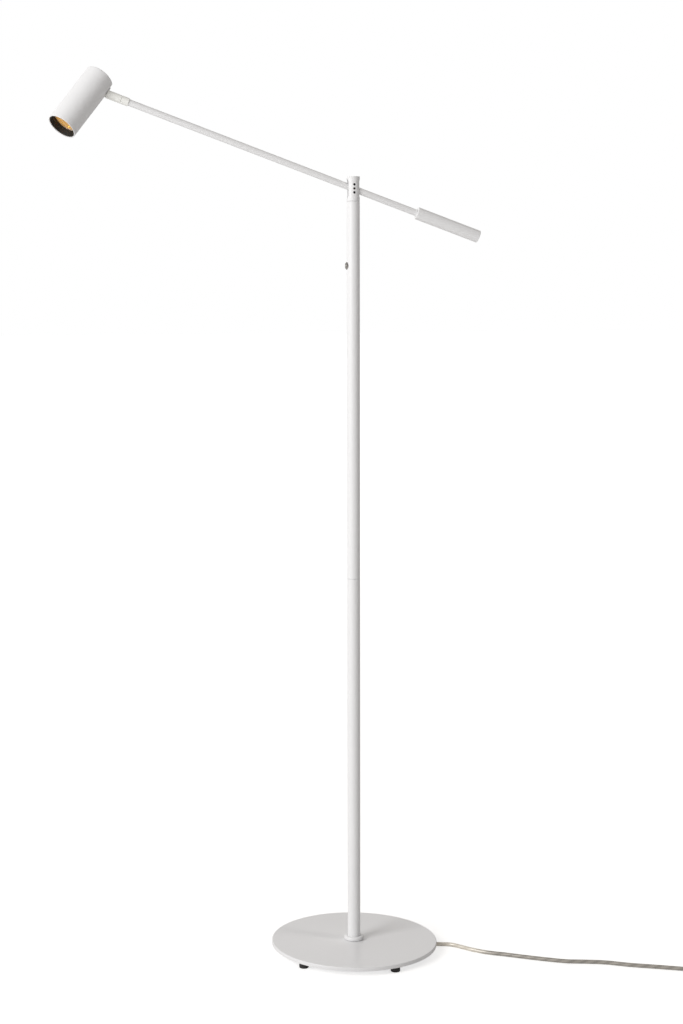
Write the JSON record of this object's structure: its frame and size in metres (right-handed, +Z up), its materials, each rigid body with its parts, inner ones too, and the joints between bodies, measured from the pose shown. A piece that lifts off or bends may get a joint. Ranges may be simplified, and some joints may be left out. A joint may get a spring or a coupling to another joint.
{
  "type": "adjustable arm floor lamp",
  "caption": "Floor lamp with a round base, a slim pole, a straight counterweighted arm on a swivelling hinge and a small cylindrical spot that turns and tilts.",
  "frame": {"origin": "on the floor, below the middle of the lamp's own box at rest, mains lead not counted", "axes": "+Z up along the pole, +X towards the side where the mains lead leaves the base, +Y away from the side with the hinge's screws"},
  "size_m": [1.0359, 0.2546, 1.3152],
  "materials": {
    "white_powder_coat": "satin powder coat",
    "ivory_powder_coat": "satin powder coat",
    "black_rubber": "moulded, matt",
    "zinc_plate": "zinc plated",
    "turned_steel": "turned",
    "black_oxide": "black oxide",
    "brass": "turned",
    "nylon": "moulded natural nylon",
    "dark_plastic": "moulded",
    "circuit_board": "lacquered board",
    "aluminium": "turned",
    "led_phosphor": "matt",
    "gold_reflector": "faceted, metallised gold",
    "clear_glass": "clear, polished",
    "matt_black": "matt black",
    "white_vinyl": "extruded vinyl",
    "clear_vinyl": "clear sheath over tinned strands",
    "nickel_plate": "nickel plated",
    "hook_and_loop": "woven black hook and loop"
  },
  "bodies": {
    "stand": {"base_plate": "white_powder_coat", "foot_1": "black_rubber", "foot_2": "black_rubber", "foot_3": "black_rubber", "foot_4": "black_rubber", "foot_5": "black_rubber", "pole_stud": "zinc_plate", "stud_nut": "zinc_plate", "pole_foot": "turned_steel", "base_collar": "white_powder_coat", "lower_tube": "white_powder_coat", "pole_joiner": "turned_steel", "upper_tube": "white_powder_coat", "swivel_bush": "brass", "button_ring": "turned_steel", "switch_body": "dark_plastic", "dimmer_board": "circuit_board", "base_core": "white_vinyl", "lower_core": "white_vinyl", "upper_core": "white_vinyl", "strain_relief": "white_vinyl", "mains_lead": "clear_vinyl", "mains_lead_end": "clear_vinyl", "lead_coil": "clear_vinyl", "lead_tie": "hook_and_loop", "plug_body": "white_vinyl", "plug_pin_left": "nickel_plate", "plug_pin_right": "nickel_plate"},
    "button": {"dimmer_button": "turned_steel"},
    "pivot": {"pivot_head": "white_powder_coat", "pivot_screw": "turned_steel", "friction_shoe": "nylon", "grub_screw_upper": "black_oxide", "grub_screw_lower": "black_oxide", "stem_washer": "turned_steel", "stem_nut": "zinc_plate"},
    "arm": {"arm_tube": "white_powder_coat", "hinge_bush": "brass", "counterweight": "white_powder_coat", "counterweight_screw": "black_oxide", "wrist_collar": "ivory_powder_coat", "wrist_ring": "turned_steel", "arm_core": "white_vinyl"},
    "wrist": {"wrist_sleeve": "ivory_powder_coat"},
    "spot": {"spot_housing": "white_powder_coat", "tilt_yoke": "zinc_plate", "tilt_pin": "turned_steel", "heat_sink": "aluminium", "led_board": "circuit_board", "led": "led_phosphor", "reflector": "gold_reflector", "front_glass": "clear_glass", "baffle": "matt_black"}
  },
  "joints": [
    {"name": "button_press", "type": "slide", "parent": "stand", "child": "button", "axis": [1, 0, 0], "range_m": [0, 0.001], "stiffness_N_per_m": 600, "springref_m": -0.0005},
    {"name": "pivot_swivel", "type": "hinge", "parent": "stand", "child": "pivot", "pos_m": [0.123, 0, 1.1249], "axis": [0, 0, 1], "range_deg": [-170, 170]},
    {"name": "arm_tilt", "type": "hinge", "parent": "pivot", "child": "arm", "pos_m": [0.123, 0, 1.1429], "axis": [0.1219, -0.9925, 0], "range_deg": [-17, 58]},
    {"name": "wrist_swivel", "type": "hinge", "parent": "arm", "child": "wrist", "pos_m": [-0.21082, -0.04099, 1.26932], "axis": [-0.9291, -0.1141, 0.3518], "range_deg": [-170, 170]},
    {"name": "spot_tilt", "type": "hinge", "parent": "wrist", "child": "spot", "pos_m": [-0.25235, -0.04609, 1.28504], "axis": [-0.2404, 0.9092, -0.34], "range_deg": [-8, 73.5]}
  ]
}
